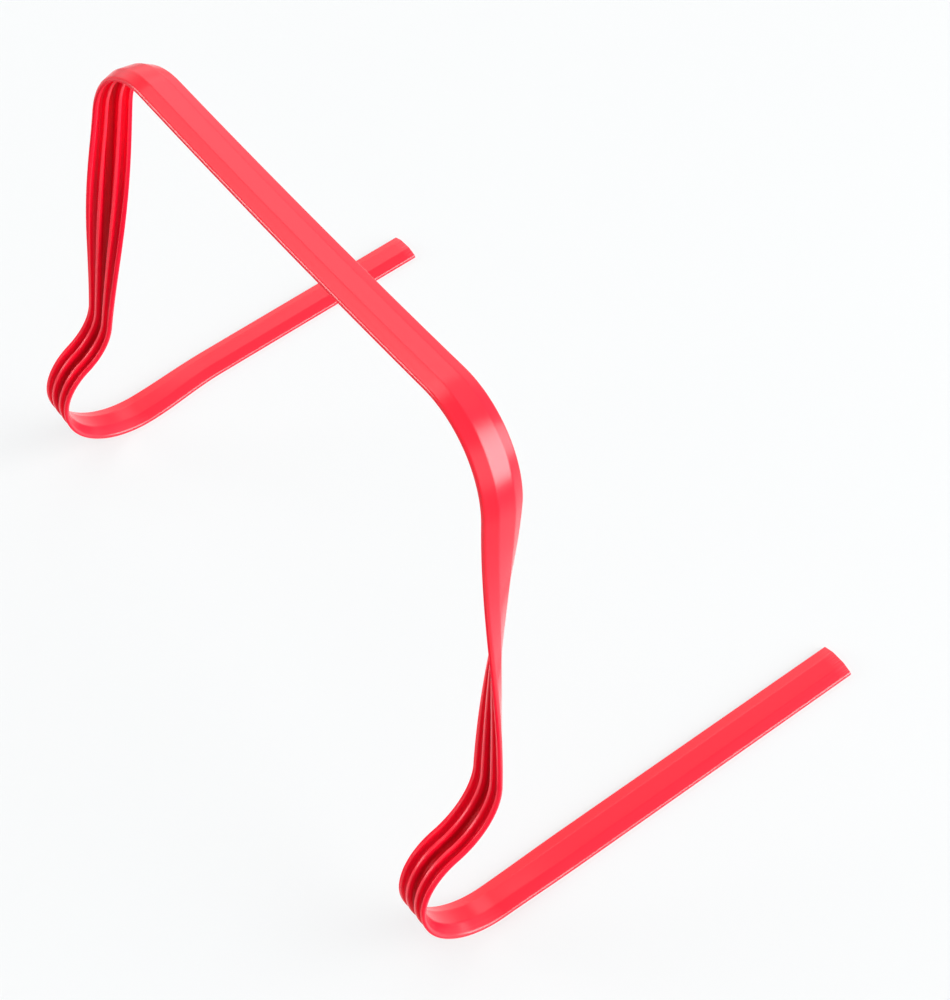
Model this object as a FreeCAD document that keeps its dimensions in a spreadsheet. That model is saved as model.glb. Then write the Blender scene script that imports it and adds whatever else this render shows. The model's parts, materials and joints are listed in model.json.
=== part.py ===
import FreeCAD, Part
import math
import os

import Sketcher

# A one-piece speed hurdle: a ribbed plastic strip, bent into a hoop on two long feet.
# Each stretch of the strip between two bends is a sub-part of its own, and they meet face to face.
# Lengths are in millimetres and angles in degrees. +Z is up, X runs along the crossbar and the feet
# point to +Y. Left is -X and right is +X.

# Driving dimensions: alias, value, what it measures.
SIZES = [
    ("strip_width", 28.0, "strip, edge to edge"),
    ("strip_thickness", 6.3, "rib tips to the middle of the smooth face"),
    ("crown_rise", 3.3, "how far the edges of the smooth face lie below its middle"),
    ("facet_width", 11.5, "flat middle facet of the smooth face, between its two creases"),
    ("web_thickness", 1.9, "wall between the smooth face and the floors of the channels"),
    ("rib_spacing", 9.4, "between the middles of the two inner ribs"),
    ("rib_width", 2.2, "inner rib, across its tip"),
    ("lip_width", 3.0, "rib along each edge, across its tip"),
    ("wall_inset", 0.7, "how far a channel's wall leans in, from the rib's tip to the floor"),
    ("edge_bevel", 0.8, "bevel along the lower edges of the strip"),
    ("overall_height", 400.0, "ground to the top of the crossbar"),
    ("crossbar_length", 290.0, "crossbar, between the corners"),
    ("crossbar_sag", 2.0, "how far the middle of the crossbar hangs below its ends"),
    ("lean_angle", 10.75, "hoop's lean towards the feet, from upright"),
    ("splay_angle", 7.5, "how far each leg leans outwards"),
    ("twist_angle", 87.5, "turn of the strip about itself along a leg"),
    ("twist_start_rate", 0.85, "how fast a leg's twist starts, where 1 is a steady twist"),
    ("twist_end_rate", 0.3, "how fast a leg's twist ends"),
    ("corner_radius", 57.5, "inside of the corner, at the rib tips"),
    ("knee_radius", 50.0, "inside of the knee, at the rib tips"),
    ("left_knee_angle", 49.0, "left knee's bend"),
    ("right_knee_angle", 66.0, "right knee's bend"),
    ("left_toe_radius", 51.0, "front of the left loop, at the rib tips outside it"),
    ("right_toe_radius", 42.0, "front of the right loop, at the rib tips outside it"),
    ("left_sole_radius", 66.5, "bottom of the left loop, at the rib tips outside it"),
    ("right_sole_radius", 56.0, "bottom of the right loop, at the rib tips outside it"),
    ("instep_length", 70.0, "stretch in which the strip rolls flat onto the ground"),
    ("left_instep_sway", 5.0, "how far the left instep swings outwards"),
    ("right_instep_sway", -1.0, "the same for the right instep, which swings inwards"),
    ("left_foot_length", 197.5, "left foot, flat on the ground"),
    ("right_foot_length", 235.0, "right foot, flat on the ground"),
]

SIDES = {"left": -1, "right": 1}
TWIST_SECTION_COUNT = 9
GENTLE_RATES = (0.0, 0.0)
RIGHT_ANGLE = 90.0

ORIGIN = FreeCAD.Vector(0, 0, 0)
ACROSS = FreeCAD.Vector(1, 0, 0)
SMOOTH = FreeCAD.Vector(0, 1, 0)
ALONG = FreeCAD.Vector(0, 0, 1)

doc = FreeCAD.newDocument("speed_hurdle")
sheet = doc.addObject("Spreadsheet::Sheet", "Sizes")
for row, (alias, value, note) in enumerate(SIZES, start=1):
    sheet.set(f"A{row}", alias.replace("_", " "))
    sheet.set(f"B{row}", str(value))
    sheet.set(f"C{row}", note)
    sheet.setAlias(f"B{row}", alias)
doc.recompute()


worked_out = []


def size(alias):
    return float(sheet.get(alias))


def keep(alias, value):
    """Adds a worked-out size to the sheet, below the driving ones."""
    worked_out.append(alias)
    row = len(SIZES) + len(worked_out)
    sheet.set(f"A{row}", alias.replace("_", " "))
    sheet.set(f"B{row}", repr(value))
    sheet.setAlias(f"B{row}", alias)
    doc.recompute([sheet])


# The cross-section. Its own axes are x across the strip and y towards the smooth face, and the
# rib tips lie on y = 0. These are the corners of its right half, from the crease round to the
# middle channel, and the left half mirrors it.
(CREASE, EDGE_TOP, EDGE_SIDE, EDGE_TIP, LIP_TIP, LIP_ROOT, RIB_OUTER_ROOT, RIB_OUTER_TIP,
 RIB_INNER_TIP, RIB_INNER_ROOT) = range(10)
HALF_COUNT = RIB_INNER_ROOT + 1
RING_COUNT = 2 * HALF_COUNT

# Widths and heights in the section: from one corner to the next, and the sheet's value for it.
WIDTHS = [
    (EDGE_TIP, EDGE_SIDE, "edge_bevel"),
    (LIP_TIP, EDGE_SIDE, "lip_width"),
    (LIP_ROOT, LIP_TIP, "wall_inset"),
    (RIB_OUTER_TIP, RIB_OUTER_ROOT, "wall_inset"),
    (RIB_INNER_ROOT, RIB_INNER_TIP, "wall_inset"),
    (RIB_INNER_TIP, RIB_OUTER_TIP, "rib_width"),
]
HEIGHTS = [
    (EDGE_TOP, CREASE, "crown_rise"),
    (RIB_INNER_ROOT, CREASE, "web_thickness"),
]


def section_corners():
    """Where the corners of the right half lie, for the sizes in the sheet."""
    edge = size("strip_width") / 2
    crease = size("facet_width") / 2
    top = size("strip_thickness")
    slope = math.atan2(size("crown_rise"), edge - crease)
    lip_root = edge - size("lip_width") - size("wall_inset")
    rib_outer_tip = (size("rib_spacing") + size("rib_width")) / 2
    rib_outer_root = rib_outer_tip + size("wall_inset")
    rib_inner_tip = rib_outer_tip - size("rib_width")

    def outer_floor(across):
        return top - (across - crease) * math.tan(slope) - size("web_thickness") / math.cos(slope)

    places = {
        CREASE: (crease, top),
        EDGE_TOP: (edge, top - size("crown_rise")),
        EDGE_SIDE: (edge, size("edge_bevel")),
        EDGE_TIP: (edge - size("edge_bevel"), 0),
        LIP_TIP: (edge - size("lip_width"), 0),
        LIP_ROOT: (lip_root, outer_floor(lip_root)),
        RIB_OUTER_ROOT: (rib_outer_root, outer_floor(rib_outer_root)),
        RIB_OUTER_TIP: (rib_outer_tip, 0),
        RIB_INNER_TIP: (rib_inner_tip, 0),
        RIB_INNER_ROOT: (rib_inner_tip - size("wall_inset"), top - size("web_thickness")),
    }
    return [FreeCAD.Vector(x, y, 0) for x, y in places.values()]


def bind(sketch, constraint, expression):
    sketch.setExpression(f"Constraints[{sketch.addConstraint(constraint)}]", expression)


def mirrored(corner):
    return RING_COUNT - 1 - corner


def section(body, name):
    """The strip's cross-section as a sketch on the body's XY plane. Line n starts at corner n."""
    sketch = body.newObject("Sketcher::SketchObject", name)
    plane = next(item for item in body.Origin.OriginFeatures if item.Role == "XY_Plane")
    sketch.AttachmentSupport = [(plane, "")]
    sketch.MapMode = "FlatFace"
    right = section_corners()
    left = [FreeCAD.Vector(-corner.x, corner.y, 0) for corner in reversed(right)]
    ring = right + left
    for start, end in zip(ring, ring[1:] + ring[:1]):
        sketch.addGeometry(Part.LineSegment(start, end), False)
    for line in range(RING_COUNT):
        sketch.addConstraint(Sketcher.Constraint("Coincident", line, 2, (line + 1) % RING_COUNT, 1))
    for corner in range(HALF_COUNT):
        sketch.addConstraint(Sketcher.Constraint("Symmetric", corner, 1, mirrored(corner), 1, -2))
    for tip in (EDGE_TIP, LIP_TIP, RIB_OUTER_TIP, RIB_INNER_TIP):
        sketch.addConstraint(Sketcher.Constraint("PointOnObject", tip, 1, -1))
    sketch.addConstraint(Sketcher.Constraint("Vertical", EDGE_TOP))
    sketch.addConstraint(Sketcher.Constraint("Parallel", CREASE, LIP_ROOT))

    spans = [
        (mirrored(CREASE), CREASE, "facet_width"),
        (mirrored(EDGE_TOP), EDGE_TOP, "strip_width"),
        (mirrored(RIB_OUTER_TIP), RIB_INNER_TIP, "rib_spacing"),
    ]
    for start, end, alias in spans + WIDTHS:
        span = Sketcher.Constraint("DistanceX", start, 1, end, 1, ring[end].x - ring[start].x)
        bind(sketch, span, f"Sizes.{alias}")
    for low, high, alias in HEIGHTS:
        rise = Sketcher.Constraint("DistanceY", low, 1, high, 1, ring[high].y - ring[low].y)
        bind(sketch, rise, f"Sizes.{alias}")
    for corner, alias in ((CREASE, "strip_thickness"), (EDGE_SIDE, "edge_bevel")):
        rise = Sketcher.Constraint("DistanceY", -1, 1, corner, 1, size(alias))
        bind(sketch, rise, f"Sizes.{alias}")
    wall = Sketcher.Constraint("Distance", LIP_ROOT, 1, CREASE, size("web_thickness"))
    bind(sketch, wall, "Sizes.web_thickness")
    return sketch


# The three kinds of stretch. Each starts at its own origin with the strip running along +Z, and
# gives back the placement of its far end, so that the next stretch starts there.

def straight(label, place, length):
    body = doc.addObject("PartDesign::Body", label)
    pad = body.newObject("PartDesign::Pad", f"{label}_pad")
    pad.Profile = section(body, f"{label}_section")
    pad.setExpression("Length", f"Sizes.{length}")
    body.Placement = place
    return place.multiply(FreeCAD.Placement(ALONG * size(length), FreeCAD.Rotation()))


def bend_step(radius, turn, towards_ribs):
    """Placement of a bend's far end. The radius is at the rib tips."""
    side = -1 if towards_ribs else 1
    return FreeCAD.Placement(ORIGIN, FreeCAD.Rotation(ACROSS, -side * turn), SMOOTH * side * radius)


def bend(label, place, radius, turn, towards_ribs):
    body = doc.addObject("PartDesign::Body", label)
    sketch = section(body, f"{label}_section")
    side = -1 if towards_ribs else 1
    reach = size("strip_width") / 2
    start = FreeCAD.Vector(side * reach, side * size(radius), 0)
    end = FreeCAD.Vector(-side * reach, side * size(radius), 0)
    axis = sketch.addGeometry(Part.LineSegment(start, end), True)
    sketch.addConstraint(Sketcher.Constraint("Symmetric", axis, 1, axis, 2, -2))
    if towards_ribs:
        width = Sketcher.Constraint("DistanceX", axis, 1, axis, 2, 2 * reach)
        height = Sketcher.Constraint("DistanceY", axis, 1, -1, 1, size(radius))
    else:
        width = Sketcher.Constraint("DistanceX", axis, 2, axis, 1, 2 * reach)
        height = Sketcher.Constraint("DistanceY", -1, 1, axis, 1, size(radius))
    bind(sketch, width, "Sizes.strip_width")
    bind(sketch, height, f"Sizes.{radius}")
    doc.recompute()
    turned = body.newObject("PartDesign::Revolution", f"{label}_bend")
    turned.Profile = sketch
    turned.ReferenceAxis = (sketch, ["Axis0"])
    turned.setExpression("Angle", f"Sizes.{turn}")
    body.Placement = place
    return place.multiply(bend_step(size(radius), size(turn), towards_ribs))


def eased(share, start_rate, end_rate):
    """How much of a change is done at a share of the way, for its rates at both ends."""
    start = start_rate * share * (1 - share) ** 2
    end = end_rate * share ** 2 * (1 - share)
    return start + share ** 2 * (3 - 2 * share) - end


def twist_step(length, turn, centre, swing=0.0):
    """Placement of the far end of a twist, which turns about a line along the strip through centre
    and swings aside, along the width that the strip has there."""
    turned = FreeCAD.Placement(ORIGIN, FreeCAD.Rotation(ALONG, turn), centre)
    aside = turned.Rotation.multVec(ACROSS) * swing
    return FreeCAD.Placement(turned.Base + aside + ALONG * length, turned.Rotation)


def twisted(label, place, length, turn, centre, rates, swing=None):
    """A loft through sections that turn, and swing aside if asked, little by little."""
    body = doc.addObject("PartDesign::Body", label)
    sketches = []
    for index in range(TWIST_SECTION_COUNT):
        share = index / (TWIST_SECTION_COUNT - 1)
        done = eased(share, *rates)
        part_turn = f"Sizes.{turn} * {done!r}"
        sketch = section(body, f"{label}_section_{index}")
        # A turn of nothing has no axis, so the offset starts with a small turn about +Z.
        sketch.AttachmentOffset = FreeCAD.Placement(ORIGIN, FreeCAD.Rotation(ALONG, 1.0))
        left_over = f"(1 - cos({part_turn} * 1 deg))"
        sine = f"sin({part_turn} * 1 deg)"
        shift_x = f"({centre.x!r}) * {left_over} + ({centre.y!r}) * {sine}"
        shift_y = f"({centre.y!r}) * {left_over} - ({centre.x!r}) * {sine}"
        if swing:
            shift_x += f" + Sizes.{swing} * {done!r} * cos(Sizes.{turn} * 1 deg)"
            shift_y += f" + Sizes.{swing} * {done!r} * sin(Sizes.{turn} * 1 deg)"
        sketch.setExpression("AttachmentOffset.Base.x", shift_x)
        sketch.setExpression("AttachmentOffset.Base.y", shift_y)
        sketch.setExpression("AttachmentOffset.Base.z", f"Sizes.{length} * {share!r}")
        sketch.setExpression("AttachmentOffset.Rotation.Angle", part_turn)
        sketches.append(sketch)
    doc.recompute()
    loft = body.newObject("PartDesign::AdditiveLoft", f"{label}_twist")
    loft.Profile = sketches[0]
    loft.Sections = sketches[1:]
    loft.Ruled = False
    body.Placement = place
    return place.multiply(twist_step(size(length), size(turn), centre, size(swing) if swing else 0.0))


def crossbar_end(side):
    """Where the strip leaves the crossbar, running outwards with its smooth face up. It still rises
    a little there, to the crest in the corner, which is the top of the hurdle."""
    lean = math.radians(size("lean_angle"))
    rise = math.radians(size("crossbar_angle") / 2)
    level = FreeCAD.Vector(side, 0, 0)
    upright = FreeCAD.Vector(0, math.sin(lean), math.cos(lean))
    out = level * math.cos(rise) + upright * math.sin(rise)
    up = upright * math.cos(rise) - level * math.sin(rise)
    crest = size("strip_thickness") + size("corner_radius") * (1 - math.cos(rise))
    top = crest * math.cos(lean) + size("facet_width") / 2 * math.sin(lean)
    base = FreeCAD.Vector(side * size("crossbar_length") / 2, 0, size("overall_height") - top)
    return FreeCAD.Placement(base, FreeCAD.Rotation(up.cross(out), up, out, "ZYX"))


def crossbar():
    inwards = FreeCAD.Placement(ORIGIN, FreeCAD.Rotation(SMOOTH, 180))
    start = crossbar_end(SIDES["left"]).multiply(inwards)
    bend("crossbar", start, "crossbar_radius", "crossbar_angle", False)


def level_turn(place):
    """The bend towards the smooth face that makes the strip run level."""
    along = place.Rotation.multVec(ALONG)
    smooth = place.Rotation.multVec(SMOOTH)
    return math.degrees(math.atan2(-along.z, smooth.z))


def core():
    """The middle of the section, which a leg twists about."""
    return SMOOTH * size("strip_thickness") / 2


def lower_lip(place):
    """The corner of the section that a strip leaning to one side stands on."""
    sign = -1 if place.Rotation.multVec(ACROSS).z > 0 else 1
    return ACROSS * sign * (size("strip_width") / 2 - size("edge_bevel"))


def settle_leg(name, corner):
    """Works out the toe's turn, which levels the foot, and the leg's length, which stands the lower
    lip of the sole on the ground. The walk starts at the corner's far end, with no leg."""
    place = corner.multiply(twist_step(0, size(f"{name}_leg_angle"), core()))
    place = place.multiply(bend_step(size("knee_radius"), size(f"{name}_knee_angle"), True))
    keep(f"{name}_toe_angle", level_turn(place) - size("sole_angle"))
    place = place.multiply(bend_step(size(f"{name}_toe_radius"), size(f"{name}_toe_angle"), False))
    place = place.multiply(bend_step(size(f"{name}_sole_radius"), size("sole_angle"), False))
    lip = place.multVec(lower_lip(place))
    keep(f"{name}_leg_length", lip.z / -corner.Rotation.multVec(ALONG).z)


def half_hoop(name, side):
    """One side of the hurdle, walked from the end of the crossbar to the end of the foot."""
    place = bend(f"{name}_corner", crossbar_end(side), "corner_radius", "corner_angle", True)
    keep(f"{name}_leg_angle", -side * size("twist_angle"))
    settle_leg(name, place)
    rates = (size("twist_start_rate"), size("twist_end_rate"))
    place = twisted(f"{name}_leg", place, f"{name}_leg_length", f"{name}_leg_angle", core(), rates)
    place = bend(f"{name}_knee", place, "knee_radius", f"{name}_knee_angle", True)
    place = bend(f"{name}_toe", place, f"{name}_toe_radius", f"{name}_toe_angle", False)
    place = bend(f"{name}_sole", place, f"{name}_sole_radius", "sole_angle", False)
    across = place.Rotation.multVec(ACROSS)
    smooth = place.Rotation.multVec(SMOOTH)
    keep(f"{name}_instep_angle", -math.degrees(math.atan2(across.z, smooth.z)))
    keep(f"{name}_instep_swing", -side * size(f"{name}_instep_sway"))
    place = twisted(f"{name}_instep", place, "instep_length", f"{name}_instep_angle",
                    lower_lip(place), GENTLE_RATES, f"{name}_instep_swing")
    straight(f"{name}_foot", place, f"{name}_foot_length")


# The crossbar is a shallow arc, a corner turns its end's line into the leg's, and a sole turns from
# upright to level.
keep("crossbar_radius", size("crossbar_length") ** 2 / (8 * size("crossbar_sag")) + size("crossbar_sag") / 2)
keep("crossbar_angle", 2 * math.degrees(math.asin(size("crossbar_length") / 2 / size("crossbar_radius"))))
keep("corner_angle", RIGHT_ANGLE - size("splay_angle") + size("crossbar_angle") / 2)
keep("sole_angle", RIGHT_ANGLE)
crossbar()
for name, side in SIDES.items():
    half_hoop(name, side)
doc.recompute()

# The origin is on the ground, under the middle of the hurdle's box.
bodies = [item for item in doc.Objects if item.TypeId == "PartDesign::Body"]
box = FreeCAD.BoundBox()
for body in bodies:
    box.add(body.Shape.optimalBoundingBox())
middle = FreeCAD.Vector(box.Center.x, box.Center.y, box.ZMin)
for body in bodies:
    body.Placement = FreeCAD.Placement(body.Placement.Base - middle, body.Placement.Rotation)
doc.recompute()

for item in doc.Objects:
    if "Invalid" in item.State or "Error" in item.State:
        raise RuntimeError(f"{item.Label} failed: {item.State}")
for body in bodies:
    if body.Shape.isNull() or not body.Shape.isValid() or len(body.Shape.Solids) != 1:
        raise RuntimeError(f"{body.Label} isn't one valid solid")

os.makedirs("parts", exist_ok=True)
for body in bodies:
    body.Shape.exportStep(f"parts/{body.Label}.step")
    print(f"{body.Label}: {body.Shape.Volume / 1000:.2f} cm3")
print(f"box: {box.XLength:.1f} x {box.YLength:.1f} x {box.ZLength:.1f} mm")
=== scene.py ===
import json
import math
from collections import namedtuple

import bpy
import numpy as np
from mathutils import Matrix, Vector


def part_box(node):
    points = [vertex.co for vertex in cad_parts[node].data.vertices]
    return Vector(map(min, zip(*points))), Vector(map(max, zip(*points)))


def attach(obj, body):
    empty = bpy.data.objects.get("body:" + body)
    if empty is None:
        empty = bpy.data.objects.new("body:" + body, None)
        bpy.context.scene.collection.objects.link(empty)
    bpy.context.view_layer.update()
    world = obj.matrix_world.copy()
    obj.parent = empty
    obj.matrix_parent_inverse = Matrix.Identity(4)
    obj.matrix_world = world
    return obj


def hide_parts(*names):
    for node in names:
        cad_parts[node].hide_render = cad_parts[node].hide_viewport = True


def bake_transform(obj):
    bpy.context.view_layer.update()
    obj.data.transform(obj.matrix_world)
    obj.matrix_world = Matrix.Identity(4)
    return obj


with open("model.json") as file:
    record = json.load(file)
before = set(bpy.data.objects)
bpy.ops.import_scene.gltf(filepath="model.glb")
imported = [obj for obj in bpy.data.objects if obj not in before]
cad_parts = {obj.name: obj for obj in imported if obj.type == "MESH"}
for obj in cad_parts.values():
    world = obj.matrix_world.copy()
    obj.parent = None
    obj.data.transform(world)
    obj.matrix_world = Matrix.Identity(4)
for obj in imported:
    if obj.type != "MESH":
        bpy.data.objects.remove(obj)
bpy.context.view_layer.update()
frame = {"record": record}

# A speed hurdle bent from one ribbed strip of glossy red plastic. Each stretch of the strip gets a skin
# that follows the CAD's path with a finer cross-section. Lengths are in metres, angles in radians.
MM = 0.001
DEG = math.radians(1)

# The strip's cross-section
STRIP_WIDTH = 28.0 * MM
STRIP_THICKNESS = 6.3 * MM
CROWN_RISE = 3.3 * MM
FACET_WIDTH = 11.5 * MM
WEB_THICKNESS = 1.9 * MM
RIB_SPACING = 9.4 * MM
RIB_WIDTH = 2.2 * MM
LIP_WIDTH = 3.0 * MM
WALL_INSET = 1.0 * MM
EDGE_BEVEL = 0.8 * MM

# How its corners are rounded
CREASE_ROUND = 4.0 * MM
EDGE_ROUND = 2.2 * MM
LIP_ROUND = 0.5 * MM
TIP_ROUND = 0.9 * MM
CHANNEL_ROUND = 1.8 * MM
CUT_ROUND = 0.3 * MM

# Its finishes: the smooth face, the rib tips, and the channels and sides
GLOSSY, SATIN, MATT = range(3)

# How much is rubbed, which also paints a highlight along the rib tips and edges. The loops rub on the
# ground, and the other stretches take only a share.
EDGE_WEAR_AND_HIGHLIGHT = 0.1
TIP_WEAR_AND_HIGHLIGHT = 0.3
CUT_WEAR = 0.3
CREST_POWER = 4
RUBBED_ENDINGS = ("_knee", "_toe", "_sole")
SPARED_SHARE = 0.2

# Its reds, and what its surface adds to them
FACE_RED = (0.86, 0.008, 0.026)
TIP_RED = (0.88, 0.005, 0.028)
# The channels' red is painted shade, which darkens them towards their floors
CHANNEL_PAINTED_SHADE_RED = (0.46, 0.0004, 0.006)
DARK_RED = (0.70, 0.004, 0.016)
# Worn red, which also stands for a painted highlight along the rib tips and edges
RUB_AND_HIGHLIGHT_RED = (0.92, 0.11, 0.14)
PLASTIC_IOR = 1.5
DARK_SHARE = 0.1
SHADE_DEPTHS = (0.4, 1.0)
LINE_DEPTH = 0.004 * MM
PEEL_DEPTH = 0.02 * MM
LINE_SMOOTHER = 0.03
LINE_ROUGHER = 0.04
RUB_ROUGHER = 0.15
RUB_PATCHES = (0.3, 1.0)
MOST_NOISE = (0.3, 0.7)
MIDDLE_NOISE = (0.35, 0.65)

# The strip's path
OVERALL_HEIGHT = 400.0 * MM
CROSSBAR_LENGTH = 290.0 * MM
CROSSBAR_SAG = 2.0 * MM
LEAN_ANGLE = 10.75 * DEG
SPLAY_ANGLE = 7.5 * DEG
TWIST_ANGLE = 87.5 * DEG
TWIST_RATES = (0.85, 0.3)
TWIST_LEAD = 30.0 * MM
CORNER_RADIUS = 57.5 * MM
KNEE_RADIUS = 50.0 * MM
INSTEP_LENGTH = 70.0 * MM
GENTLE_RATES = (0.0, 0.0)
SOLE_ANGLE = 90.0 * DEG
SIDES = {
    "left": {"sign": -1, "knee_angle": 49.0 * DEG, "toe_radius": 51.0 * MM,
             "sole_radius": 66.5 * MM, "instep_sway": 5.0 * MM, "foot_length": 197.5 * MM},
    "right": {"sign": 1, "knee_angle": 66.0 * DEG, "toe_radius": 42.0 * MM,
              "sole_radius": 56.0 * MM, "instep_sway": -1.0 * MM, "foot_length": 235.0 * MM},
}
CROSSBAR_RADIUS = CROSSBAR_LENGTH ** 2 / (8 * CROSSBAR_SAG) + CROSSBAR_SAG / 2
CROSSBAR_RISE = math.asin(CROSSBAR_LENGTH / 2 / CROSSBAR_RADIUS)
TO_RIBS, TO_SMOOTH = -1, 1

# How finely it is meshed, and the share of a stretch over which its direction is measured
ARC_STEP = 15 * DEG
BEND_STEP = 2 * DEG
TWIST_RINGS = 73
INSTEP_RINGS = 33
STRAIGHT_RINGS = 25
CUT_RINGS = 4
NUDGE = 0.001

# The camera
CAMERA_PLACE = Vector((0.68061, -0.40013, 1.16171))
CAMERA_AZIMUTH = 0.98211
CAMERA_ELEVATION = 0.94717
CAMERA_ROLL = -0.07007
CAMERA_LENS_MM = 67.44

# The studio dome: an even room light and softboxes, each with its direction, the half-widths inside
# which it is full and beyond which it is dark, and its radiance
ROOM_LIGHT = ((0, 0, 1), 96 * DEG, 112 * DEG, 0.45)
SOFTBOXES = [
    ((0.75, 0.59, 0.30), 10 * DEG, 36 * DEG, 9.0),    # the near corner's bright patch
    ((-0.64, 0.45, 0.62), 12 * DEG, 19 * DEG, 1.2),   # the crossbar's middle facet
    ((-0.47, -0.10, 0.877), 8 * DEG, 20 * DEG, 2.2),  # the crossbar's front facet
    ((-0.93, 0.36, 0.08), 12 * DEG, 34 * DEG, 0.5),   # the facets of the feet that slope to the left
    ((-0.62, 0.78, 0.03), 10 * DEG, 28 * DEG, 0.3),   # the crossbar's back facet
    ((-0.22, 0.60, 0.77), 12 * DEG, 30 * DEG, 0.5),   # the near foot
    ((-0.62, -0.69, 0.29), 8 * DEG, 17 * DEG, 8.0),   # the ribs of the loops
    ((0.88, -0.14, 0.45), 10 * DEG, 26 * DEG, 1.2),   # the near corner's front facet
]

# A disk light beyond the feet, which shines on the near corner's back facet
LAMP_PLACE = Vector((0.58, 1.09, 0.38))
LAMP_TARGET = Vector((0.20, -0.05, 0.37))
LAMP_SIZE = 0.5
LAMP_WATTS = 2.2

# The floor, whose grey and glow fade with the distance from its middle
FLOOR_SIZE = 12.0
FLOOR_MIDDLE = (-0.13, 0.15, 0)
FLOOR_FADE = (0.68, 1.30)
FLOOR_GREYS = (0.2, 0.1)
FLOOR_GLOWS = (0.69, 0.34)
FLOOR_TINT = (0.975, 0.995, 1, 1)
FLOOR_ROUGHNESS = 0.9


# The cross-section: x across the strip, y towards the smooth face, rib tips on y = 0. Corners go
# clockwise, so the outside is on the left of the way round.

Corner = namedtuple("Corner", "x y radius finish wear")


def half_profile():
    """Right half of the outline, from the crease to the middle channel."""
    edge = STRIP_WIDTH / 2
    crease = FACET_WIDTH / 2
    slope = math.atan2(CROWN_RISE, edge - crease)
    lip_root = edge - LIP_WIDTH - WALL_INSET
    rib_outer_tip = (RIB_SPACING + RIB_WIDTH) / 2
    rib_outer_root = rib_outer_tip + WALL_INSET
    rib_inner_tip = rib_outer_tip - RIB_WIDTH
    rib_inner_root = rib_inner_tip - WALL_INSET
    middle_floor = STRIP_THICKNESS - WEB_THICKNESS

    def outer_floor(across):
        drop = (across - crease) * math.tan(slope) + WEB_THICKNESS / math.cos(slope)
        return STRIP_THICKNESS - drop

    return [
        Corner(crease, STRIP_THICKNESS, CREASE_ROUND, GLOSSY, 0.0),
        Corner(edge, STRIP_THICKNESS - CROWN_RISE, EDGE_ROUND, GLOSSY, EDGE_WEAR_AND_HIGHLIGHT),
        Corner(edge, EDGE_BEVEL, LIP_ROUND, MATT, EDGE_WEAR_AND_HIGHLIGHT),
        Corner(edge - EDGE_BEVEL, 0, LIP_ROUND, MATT, EDGE_WEAR_AND_HIGHLIGHT),
        Corner(edge - LIP_WIDTH, 0, TIP_ROUND, SATIN, TIP_WEAR_AND_HIGHLIGHT),
        Corner(lip_root, outer_floor(lip_root), CHANNEL_ROUND, MATT, 0.0),
        Corner(rib_outer_root, outer_floor(rib_outer_root), CHANNEL_ROUND, MATT, 0.0),
        Corner(rib_outer_tip, 0, TIP_ROUND, SATIN, TIP_WEAR_AND_HIGHLIGHT),
        Corner(rib_inner_tip, 0, TIP_ROUND, SATIN, TIP_WEAR_AND_HIGHLIGHT),
        Corner(rib_inner_root, middle_floor, CHANNEL_ROUND, MATT, 0.0),
    ]


def rounded_outline():
    """The whole outline with each corner as an arc: points, outward normals, the finish from each point to
    the next, and wear with its painted highlight. It starts and ends at the floor of the middle channel."""
    right = half_profile()
    left = [corner._replace(x=-corner.x) for corner in reversed(right)]
    ring = left + right
    points, normals, finishes, wear = [], [], [], []
    for before, here, after in zip(ring[-1:] + ring[:-1], ring, ring[1:] + ring[:1]):
        corner = Vector((here.x, here.y))
        into = (corner - Vector((before.x, before.y))).normalized()
        out_of = (Vector((after.x, after.y)) - corner).normalized()
        turn = math.atan2(into.cross(out_of), into.dot(out_of))
        reach = here.radius * math.tan(abs(turn) / 2)
        outward = Vector((-into.y, into.x))
        bulge = here.radius if turn < 0 else -here.radius
        centre = corner - into * reach - outward * bulge
        steps = max(2, math.ceil(abs(turn) / ARC_STEP))
        for step in range(steps + 1):
            normal = Matrix.Rotation(turn * step / steps, 2) @ outward
            points.append(centre + normal * bulge)
            normals.append(normal)
            # Wear and painted highlight gather on the crests of the rib tips
            crest = max(0.0, -normal.y) ** CREST_POWER if here.finish == SATIN else 1.0
            wear.append(here.wear * crest)
            same = step < steps or after.finish == here.finish
            finishes.append(here.finish if same else MATT)
    return np.array(points), np.array(normals), finishes, np.array(wear)


OUTLINE, OUTLINE_NORMALS, FINISHES, WEAR_AND_HIGHLIGHT = rounded_outline()
CORE = Vector((0, STRIP_THICKNESS / 2, 0))


# The path. A place is a matrix whose z runs along the strip, and each kind of stretch says where a
# share of it leads.

def bend_step(radius, angle, side):
    centre = Matrix.Translation((0, side * radius, 0))
    return centre @ Matrix.Rotation(-side * angle, 4, "X") @ centre.inverted()


def twist_step(length, angle, centre):
    middle = Matrix.Translation(centre)
    return Matrix.Translation((0, 0, length)) @ middle @ Matrix.Rotation(angle, 4, "Z") @ middle.inverted()


def eased(share, start_rate, end_rate):
    """How much of a change is done at a share of the way, for its rates at both ends."""
    start = start_rate * share * (1 - share) ** 2
    end = end_rate * share ** 2 * (1 - share)
    return start + share ** 2 * (3 - 2 * share) - end


def leg_turn(angle, distance, leg_length):
    """The strip's turn about itself at a distance past the corner. It starts softly, a little
    before the corner's end."""
    if abs(distance) < TWIST_LEAD:
        distance = (distance + TWIST_LEAD) ** 2 / (4 * TWIST_LEAD)
    return angle * eased(max(0.0, distance) / leg_length, *TWIST_RATES)


class Stretch:
    """A stretch of strip from a place, where step(share) leads along it."""

    def __init__(self, node, place, step, length, rings):
        self.node = node
        self.place = place
        self.step = step
        self.length = length
        self.rings = rings

    def end(self):
        return self.place @ self.step(1.0)


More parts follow.
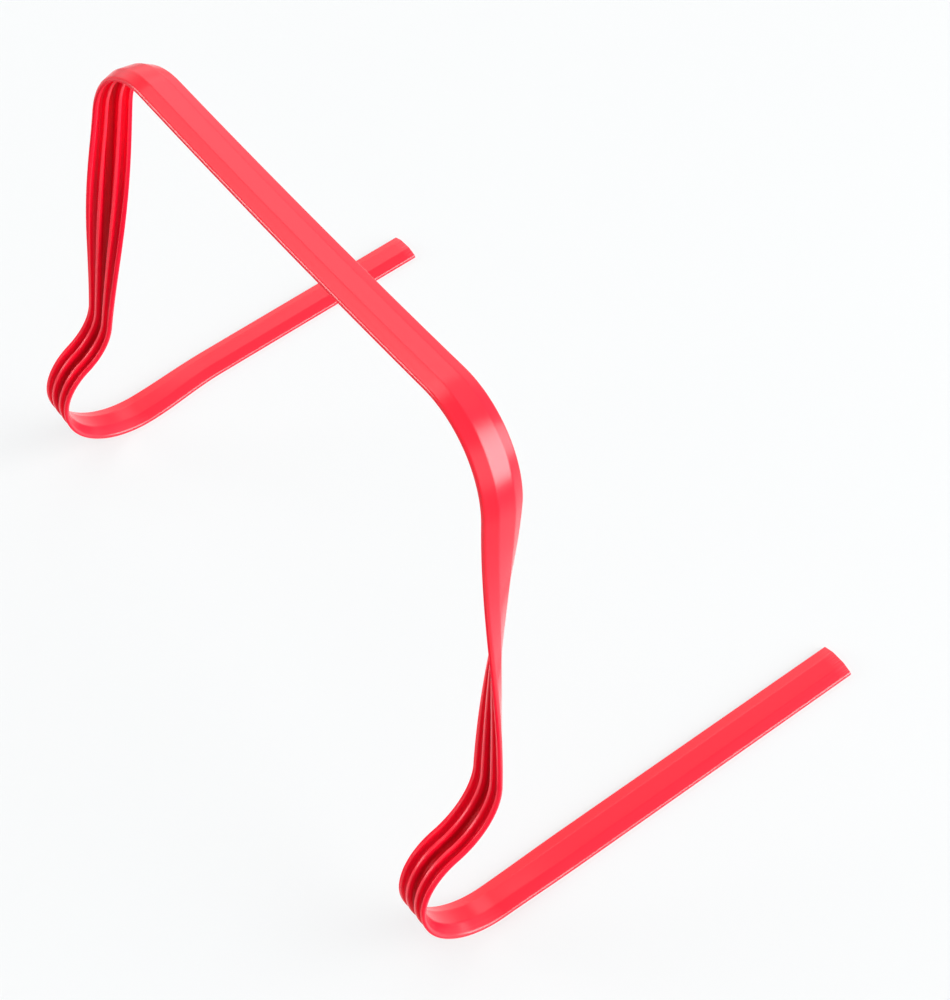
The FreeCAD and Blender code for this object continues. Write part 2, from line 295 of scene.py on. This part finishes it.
def straight(node, place, length):
    return Stretch(node, place, lambda share: Matrix.Translation((0, 0, length * share)), length,
                   STRAIGHT_RINGS)


def bend(node, place, radius, angle, side):
    return Stretch(node, place, lambda share: bend_step(radius, angle * share, side), radius * angle,
                   max(STRAIGHT_RINGS, math.ceil(angle / BEND_STEP) + 1))


def corner_of(name, place, angle, leg_angle, leg_length):
    """The bend into the leg, in whose last bit the leg's twist starts."""
    reach = (CORNER_RADIUS + CORE.y) * angle

    def step(share):
        turn = leg_turn(leg_angle, (share - 1) * reach, leg_length)
        return bend_step(CORNER_RADIUS, angle * share, TO_RIBS) @ twist_step(0, turn, CORE)

    return Stretch(f"{name}_corner", place, step, reach, math.ceil(angle / BEND_STEP) + 1)


def leg_of(name, place, angle, length):
    """The strip twists about its core all the way down."""
    def step(share):
        distance = length * share
        return twist_step(distance, leg_turn(angle, distance, length), CORE)

    return Stretch(f"{name}_leg", place, step, length, TWIST_RINGS)


def instep_of(name, place, swing):
    """The strip rolls flat about its lower lip and swings aside."""
    roll = -math.atan2(place.col[0].z, place.col[1].z)
    aside = Vector((math.cos(roll), math.sin(roll), 0)) * swing

    def step(share):
        done = eased(share, *GENTLE_RATES)
        rolled = twist_step(INSTEP_LENGTH * share, roll * done, lower_lip(place))
        return Matrix.Translation(aside * done) @ rolled

    return Stretch(f"{name}_instep", place, step, INSTEP_LENGTH, INSTEP_RINGS)


def recentring():
    """How far the CAD's frame lies from the middle of the crossbar's rib tips."""
    low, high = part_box("crossbar")
    edge = Vector((STRIP_WIDTH / 2, STRIP_THICKNESS - CROWN_RISE))
    reach = edge.x * math.cos(LEAN_ANGLE) + edge.y * math.sin(LEAN_ANGLE)
    return Vector(((low.x + high.x) / 2, high.y - reach, 0))


def crossbar_end(sign):
    """Where the strip leaves the crossbar, running outwards with its smooth face up. It still rises
    a little there, to the crest in the corner."""
    level = Vector((sign, 0, 0))
    upright = Vector((0, math.sin(LEAN_ANGLE), math.cos(LEAN_ANGLE)))
    out = level * math.cos(CROSSBAR_RISE) + upright * math.sin(CROSSBAR_RISE)
    up = upright * math.cos(CROSSBAR_RISE) - level * math.sin(CROSSBAR_RISE)
    crest = STRIP_THICKNESS + CORNER_RADIUS * (1 - math.cos(CROSSBAR_RISE))
    top = crest * math.cos(LEAN_ANGLE) + FACET_WIDTH / 2 * math.sin(LEAN_ANGLE)
    base = Vector((sign * CROSSBAR_LENGTH / 2, 0, OVERALL_HEIGHT - top)) + recentring()
    return Matrix.Translation(base) @ Matrix((up.cross(out), up, out)).transposed().to_4x4()


def crossbar():
    start = crossbar_end(SIDES["left"]["sign"]) @ Matrix.Rotation(math.pi, 4, "Y")
    return bend("crossbar", start, CROSSBAR_RADIUS, 2 * CROSSBAR_RISE, TO_SMOOTH)


def level_angle(place):
    """The bend towards the smooth face that makes the strip run level."""
    return math.atan2(-place.col[2].z, place.col[1].z)


def lower_lip(place):
    """The corner of the section that a strip leaning to one side stands on."""
    sign = -1 if place.col[0].z > 0 else 1
    return Vector((sign * (STRIP_WIDTH / 2 - EDGE_BEVEL), 0, 0))


def half_hoop(name, sign, knee_angle, toe_radius, sole_radius, instep_sway, foot_length):
    """The stretches of one side, from the crossbar to the end of the foot."""
    leg_angle = -sign * TWIST_ANGLE
    corner_angle = 90 * DEG - SPLAY_ANGLE + CROSSBAR_RISE
    corner_end = crossbar_end(sign) @ bend_step(CORNER_RADIUS, corner_angle, TO_RIBS)

    # With no leg at all, how far the strip would be off the ground gives the leg's length.
    place = corner_end @ twist_step(0, leg_angle, CORE) @ bend_step(KNEE_RADIUS, knee_angle, TO_RIBS)
    toe_angle = level_angle(place) - SOLE_ANGLE
    place = place @ bend_step(toe_radius, toe_angle, TO_SMOOTH)
    place = place @ bend_step(sole_radius, SOLE_ANGLE, TO_SMOOTH)
    leg_length = (place @ lower_lip(place)).z / -corner_end.col[2].z

    corner = corner_of(name, crossbar_end(sign), corner_angle, leg_angle, leg_length)
    leg = leg_of(name, corner_end, leg_angle, leg_length)
    knee = bend(f"{name}_knee", leg.end(), KNEE_RADIUS, knee_angle, TO_RIBS)
    toe = bend(f"{name}_toe", knee.end(), toe_radius, toe_angle, TO_SMOOTH)
    sole = bend(f"{name}_sole", toe.end(), sole_radius, SOLE_ANGLE, TO_SMOOTH)
    instep = instep_of(name, sole.end(), -sign * instep_sway)
    foot = straight(f"{name}_foot", instep.end(), foot_length)
    return [corner, leg, knee, toe, sole, instep, foot]


def all_stretches():
    """Every stretch, with its start's distance along the strip from the middle of the crossbar."""
    stretches = [(crossbar(), -CROSSBAR_LENGTH / 2)]
    for name, side in SIDES.items():
        distance = CROSSBAR_LENGTH / 2
        for stretch in half_hoop(name, **side):
            stretches.append((stretch, distance))
            distance += stretch.length
    return stretches


# The skin of a stretch

def outline_at(stretch, share):
    place = np.array(stretch.place @ stretch.step(share))
    flat = np.column_stack([OUTLINE, np.zeros(len(OUTLINE))])
    return flat @ place[:3, :3].T + place[:3, 3]


def ring_of(stretch, share):
    """Points and normals of the outline at a share of a stretch. The normals stand across both the
    outline and the way that its points take along the strip."""
    along = outline_at(stretch, share + NUDGE) - outline_at(stretch, share - NUDGE)
    turn = np.array(stretch.place @ stretch.step(share))[:3, :3]
    around = np.column_stack([OUTLINE_NORMALS[:, 1], -OUTLINE_NORMALS[:, 0], np.zeros(len(OUTLINE))])
    normals = np.cross(along, around @ turn.T)
    return outline_at(stretch, share), normals / np.linalg.norm(normals, axis=1)[:, None]


def cut_rings(points, normals, along):
    """The rounded rim of a cut end: rings that turn from the side to the end face."""
    rings = []
    for angle in np.linspace(0, 90 * DEG, CUT_RINGS):
        inset = normals * CUT_ROUND * (1 - math.cos(angle))
        ahead = along * CUT_ROUND * (math.sin(angle) - 1)
        rings.append((points - inset + ahead, normals * math.cos(angle) + along * math.sin(angle)))
    return rings


def strip_faces(ring_count):
    """Four-sided faces from ring to ring, and one face over each end."""
    count = len(OUTLINE)
    faces = []
    for low in range(0, (ring_count - 1) * count, count):
        high = low + count
        for here in range(count):
            there = (here + 1) % count
            faces.append((low + here, high + here, high + there, low + there))
    last = (ring_count - 1) * count
    faces.append(tuple(range(count)))
    faces.append(tuple(range(last + count - 1, last - 1, -1)))
    return faces


def add_values(mesh, name, values):
    mesh.attributes.new(name, "FLOAT", "POINT").data.foreach_set("value", values)


def add_strip_map(mesh, places):
    """A UV map in metres: u runs round the outline and v along the whole strip."""
    count = len(OUTLINE)
    steps = np.linalg.norm(np.roll(OUTLINE, -1, axis=0) - OUTLINE, axis=1)
    around = np.concatenate([[0], np.cumsum(steps)])
    pairs = []
    for low, high in zip(places, places[1:]):
        for left, right in zip(around, around[1:]):
            pairs += [(left, low), (left, high), (right, high), (right, low)]
    pairs += [(around[here], places[0]) for here in range(count)]
    pairs += [(around[here], places[-1]) for here in range(count - 1, -1, -1)]
    layer = mesh.uv_layers.new(name="strip")
    layer.uv.foreach_set("vector", np.array(pairs, np.float32).ravel())


def add_normals(mesh, normals, faces, start_way, end_way):
    """The rings' normals along the sides, and square ones over the two ends."""
    count = len(OUTLINE)
    corner_normals = normals[[vertex for face in faces for vertex in face]]
    corner_normals[-2 * count:-count] = -start_way
    corner_normals[-count:] = end_way
    mesh.normals_split_custom_set(corner_normals.tolist())


def skin(stretch, distance, cut_end=False):
    """A closed mesh over one stretch, which starts at a distance along the whole strip."""
    shares = np.linspace(0, 1, stretch.rings)
    rings = [ring_of(stretch, share) for share in shares]
    places = [distance + stretch.length * share for share in shares]
    # The loops carry the most wear and painted highlight
    rub_and_highlight = 1.0 if stretch.node.endswith(RUBBED_ENDINGS) else SPARED_SHARE
    wear = [WEAR_AND_HIGHLIGHT * rub_and_highlight] * len(rings)
    start_way = np.array(stretch.place.col[2])[:3]
    end_way = np.array(stretch.end().col[2])[:3]
    if cut_end:
        rim = cut_rings(*rings.pop(), end_way)
        rings += rim
        places += [places[-1]] * (len(rim) - 1)
        wear = wear[1:] + [np.full(len(OUTLINE), CUT_WEAR)] * len(rim)
    points = np.concatenate([ring for ring, _ in rings])
    normals = np.concatenate([turned for _, turned in rings])
    faces = strip_faces(len(rings))

    mesh = bpy.data.meshes.new(f"{stretch.node}_strip")
    mesh.from_pydata(points.tolist(), [], faces)
    mesh.polygons.foreach_set("use_smooth", [True] * len(faces))
    mesh.polygons.foreach_set("material_index", FINISHES * (len(rings) - 1) + [MATT, MATT])
    add_values(mesh, "depth", np.tile(OUTLINE[:, 1] / (STRIP_THICKNESS - WEB_THICKNESS), len(rings)))
    add_values(mesh, "wear", np.concatenate(wear))
    add_strip_map(mesh, places)
    add_normals(mesh, normals, faces, start_way, end_way)
    piece = bpy.data.objects.new(mesh.name, mesh)
    bpy.context.scene.collection.objects.link(piece)
    return piece


def blend_span(stretch):
    """Two points between which a bend turns, so that all of each end ring keeps to its own body."""
    first, last = ring_of(stretch, 0.0)[0], ring_of(stretch, 1.0)[0]
    start = first.mean(axis=0)
    way = last.mean(axis=0) - start
    way /= np.linalg.norm(way)
    near = (first - start) @ way
    far = (last - start) @ way
    return tuple(start + way * near.max()), tuple(start + way * far.min())


# Materials

def soft_range(tree, source, before, after):
    """A source that is eased from one range of values to another."""
    node = tree.nodes.new("ShaderNodeMapRange")
    node.interpolation_type = "SMOOTHSTEP"
    for name, value in zip(("From Min", "From Max", "To Min", "To Max"), (*before, *after)):
        node.inputs[name].default_value = value
    tree.links.new(source, node.inputs["Value"])
    return node.outputs["Result"]


class Plastic:
    """A plastic whose look comes from the strip's own map, so its lines run along the strip."""

    def __init__(self, name):
        self.material = bpy.data.materials.new(name)
        self.material.use_nodes = True
        self.tree = self.material.node_tree
        self.shader = self.tree.nodes["Principled BSDF"]
        self.shader.inputs["IOR"].default_value = PLASTIC_IOR

    def add(self, kind, **settings):
        node = self.tree.nodes.new(kind)
        for name, value in settings.items():
            setattr(node, name, value)
        return node

    def link(self, start, end):
        self.tree.links.new(start, end)

    def value(self, name):
        return self.add("ShaderNodeAttribute", attribute_name=name).outputs["Fac"]

    def noise(self, around, along, detail):
        """Noise with so many grains per metre round the outline and along the strip."""
        chart = self.add("ShaderNodeUVMap", uv_map="strip")
        stretched = self.add("ShaderNodeMapping")
        stretched.inputs["Scale"].default_value = (around, along, 1)
        self.link(chart.outputs["UV"], stretched.inputs["Vector"])
        grain = self.add("ShaderNodeTexNoise", noise_dimensions="2D")
        grain.inputs["Scale"].default_value = 1
        grain.inputs["Detail"].default_value = detail
        self.link(stretched.outputs["Vector"], grain.inputs["Vector"])
        return grain.outputs["Fac"]

    def span(self, source, before, after):
        return soft_range(self.tree, source, before, after)

    def math(self, operation, first, second):
        """A sum or product of two sources, of which the second may be a number."""
        node = self.add("ShaderNodeMath", operation=operation)
        self.link(first, node.inputs[0])
        if isinstance(second, float):
            node.inputs[1].default_value = second
        else:
            self.link(second, node.inputs[1])
        return node.outputs["Value"]

    def blend(self, share, first, second):
        """A colour between two, each given as numbers or as a socket. The mixer's colour sockets share
        their names with others, so they go by their places."""
        mixer = self.add("ShaderNodeMix", data_type="RGBA")
        self.link(share, mixer.inputs["Factor"])
        for socket, source in zip((mixer.inputs[6], mixer.inputs[7]), (first, second)):
            if isinstance(source, tuple):
                socket.default_value = (*source, 1)
            else:
                self.link(source, socket)
        return mixer.outputs[2]

    def relief(self, *heights):
        """Bumps one on top of the other, each a height source and its depth in metres."""
        normal = None
        for source, depth in heights:
            bump = self.add("ShaderNodeBump")
            bump.inputs["Distance"].default_value = depth
            self.link(source, bump.inputs["Height"])
            if normal:
                self.link(normal, bump.inputs["Normal"])
            normal = bump.outputs["Normal"]
        self.link(normal, self.shader.inputs["Normal"])


def red_plastic(name, colour, roughness, specular, painted_shade_colour=None):
    """The strip's plastic, with lines from the die, slow changes of tone, and rubbed edges and rib tips that
    also carry a painted highlight. Towards the floors of the channels it turns to a painted shade colour, if
    there is one."""
    plastic = Plastic(name)
    lines = plastic.noise(around=1400, along=5, detail=2)
    peel = plastic.noise(around=260, along=190, detail=1)
    tone = plastic.noise(around=30, along=9, detail=2)
    rubs = plastic.noise(around=900, along=40, detail=3)
    # Patches of wear, which also paint a highlight on the rib tips and edges
    rub_and_highlight = plastic.math("MULTIPLY", plastic.value("wear"), plastic.span(rubs, MOST_NOISE, RUB_PATCHES))

    # Painted shade: the colour darkens towards the floors of the channels
    if painted_shade_colour:
        painted_shade = plastic.span(plastic.value("depth"), SHADE_DEPTHS, (0.0, 1.0))
        colour = plastic.blend(painted_shade, colour, painted_shade_colour)
    shaded = plastic.blend(plastic.span(tone, MIDDLE_NOISE, (0.0, DARK_SHARE)), colour, DARK_RED)
    plastic.link(plastic.blend(rub_and_highlight, shaded, RUB_AND_HIGHLIGHT_RED), plastic.shader.inputs["Base Color"])

    streaks = plastic.span(lines, MOST_NOISE, (roughness - LINE_SMOOTHER, roughness + LINE_ROUGHER))
    rough = plastic.math("ADD", streaks, plastic.math("MULTIPLY", rub_and_highlight, RUB_ROUGHER))
    plastic.link(rough, plastic.shader.inputs["Roughness"])
    plastic.shader.inputs["Specular IOR Level"].default_value = specular
    plastic.relief((lines, LINE_DEPTH), (peel, PEEL_DEPTH))
    return plastic.material


def red_plastics():
    """One plastic for each finish, in the finishes' order."""
    return [
        red_plastic("red_plastic_smooth", FACE_RED, roughness=0.22, specular=0.5),
        red_plastic("red_plastic_tips", TIP_RED, roughness=0.22, specular=0.3),
        # The channels' plastic has painted shade towards their floors
        red_plastic("red_plastic_channels", TIP_RED, roughness=0.28, specular=0.04, painted_shade_colour=CHANNEL_PAINTED_SHADE_RED),
    ]


def pale_floor():
    """A pale lit table, bright where the hurdle stands and dimmer further away."""
    material = bpy.data.materials.new("pale_floor")
    material.use_nodes = True
    tree = material.node_tree
    shader = tree.nodes["Principled BSDF"]
    shader.inputs["Roughness"].default_value = FLOOR_ROUGHNESS
    shader.inputs["Specular IOR Level"].default_value = 0.0
    shader.inputs["Emission Color"].default_value = FLOOR_TINT
    place = tree.nodes.new("ShaderNodeNewGeometry")
    reach = tree.nodes.new("ShaderNodeVectorMath")
    reach.operation = "DISTANCE"
    reach.inputs[1].default_value = FLOOR_MIDDLE
    tree.links.new(place.outputs["Position"], reach.inputs[0])
    for socket, values in (("Base Color", FLOOR_GREYS), ("Emission Strength", FLOOR_GLOWS)):
        fade = soft_range(tree, reach.outputs["Value"], FLOOR_FADE, values)
        tree.links.new(fade, shader.inputs[socket])
    return material


# The hurdle

def build_hurdle(plastics):
    groups = frame["record"]["behaviour"]["bodies"]
    body_of = {node: body for body, nodes in groups.items() for node in nodes}
    for stretch, distance in all_stretches():
        node = stretch.node
        piece = skin(stretch, distance, cut_end=node.endswith("_foot"))
        for plastic in plastics:
            piece.data.materials.append(plastic)
        if node.endswith("_corner"):
            blend_span(stretch)
            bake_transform(piece)
        elif node.endswith("_sole"):
            blend_span(stretch)
            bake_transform(piece)
        else:
            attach(piece, body_of[node])
        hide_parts(node)


# The studio

def add_camera():
    back = Vector((math.sin(CAMERA_AZIMUTH) * math.cos(CAMERA_ELEVATION),
                   -math.cos(CAMERA_AZIMUTH) * math.cos(CAMERA_ELEVATION), math.sin(CAMERA_ELEVATION)))
    right = Vector((math.cos(CAMERA_AZIMUTH), math.sin(CAMERA_AZIMUTH), 0))
    up = back.cross(right)
    turned_right = right * math.cos(CAMERA_ROLL) + up * math.sin(CAMERA_ROLL)
    turned_up = up * math.cos(CAMERA_ROLL) - right * math.sin(CAMERA_ROLL)
    data = bpy.data.cameras.new("camera")
    data.lens = CAMERA_LENS_MM
    camera = bpy.data.objects.new("camera", data)
    camera.matrix_world = (Matrix.Translation(CAMERA_PLACE)
                           @ Matrix((turned_right, turned_up, back)).transposed().to_4x4())
    bpy.context.scene.collection.objects.link(camera)
    bpy.context.scene.camera = camera


def glow(tree, direction, full, dark, radiance):
    """A softbox in the studio dome with a soft rim."""
    dome = tree.nodes.new("ShaderNodeTexCoord")
    nearness = tree.nodes.new("ShaderNodeVectorMath")
    nearness.operation = "DOT_PRODUCT"
    nearness.inputs[1].default_value = Vector(direction).normalized()
    tree.links.new(dome.outputs["Generated"], nearness.inputs[0])
    return soft_range(tree, nearness.outputs["Value"], (math.cos(dark), math.cos(full)), (0.0, radiance))


def add_dome():
    world = bpy.data.worlds.new("studio")
    world.use_nodes = True
    tree = world.node_tree
    total = glow(tree, *ROOM_LIGHT)
    for softbox in SOFTBOXES:
        both = tree.nodes.new("ShaderNodeMath")
        tree.links.new(total, both.inputs[0])
        tree.links.new(glow(tree, *softbox), both.inputs[1])
        total = both.outputs["Value"]
    backdrop = tree.nodes["Background"]
    backdrop.inputs["Color"].default_value = (1, 1, 1, 1)
    tree.links.new(total, backdrop.inputs["Strength"])
    bpy.context.scene.world = world


def add_lamp():
    data = bpy.data.lights.new("lamp", "AREA")
    data.shape = "DISK"
    data.size = LAMP_SIZE
    data.energy = LAMP_WATTS
    lamp = bpy.data.objects.new("lamp", data)
    lamp.location = LAMP_PLACE
    lamp.rotation_euler = (LAMP_TARGET - LAMP_PLACE).to_track_quat("-Z", "Y").to_euler()
    bpy.context.scene.collection.objects.link(lamp)


def add_floor():
    bpy.ops.mesh.primitive_plane_add(size=FLOOR_SIZE)
    floor = bpy.context.object
    floor.name = "floor"
    floor.data.materials.append(pale_floor())


build_hurdle(red_plastics())
add_camera()
add_dome()
add_lamp()
add_floor()
bpy.context.scene.view_settings.view_transform = "Standard"
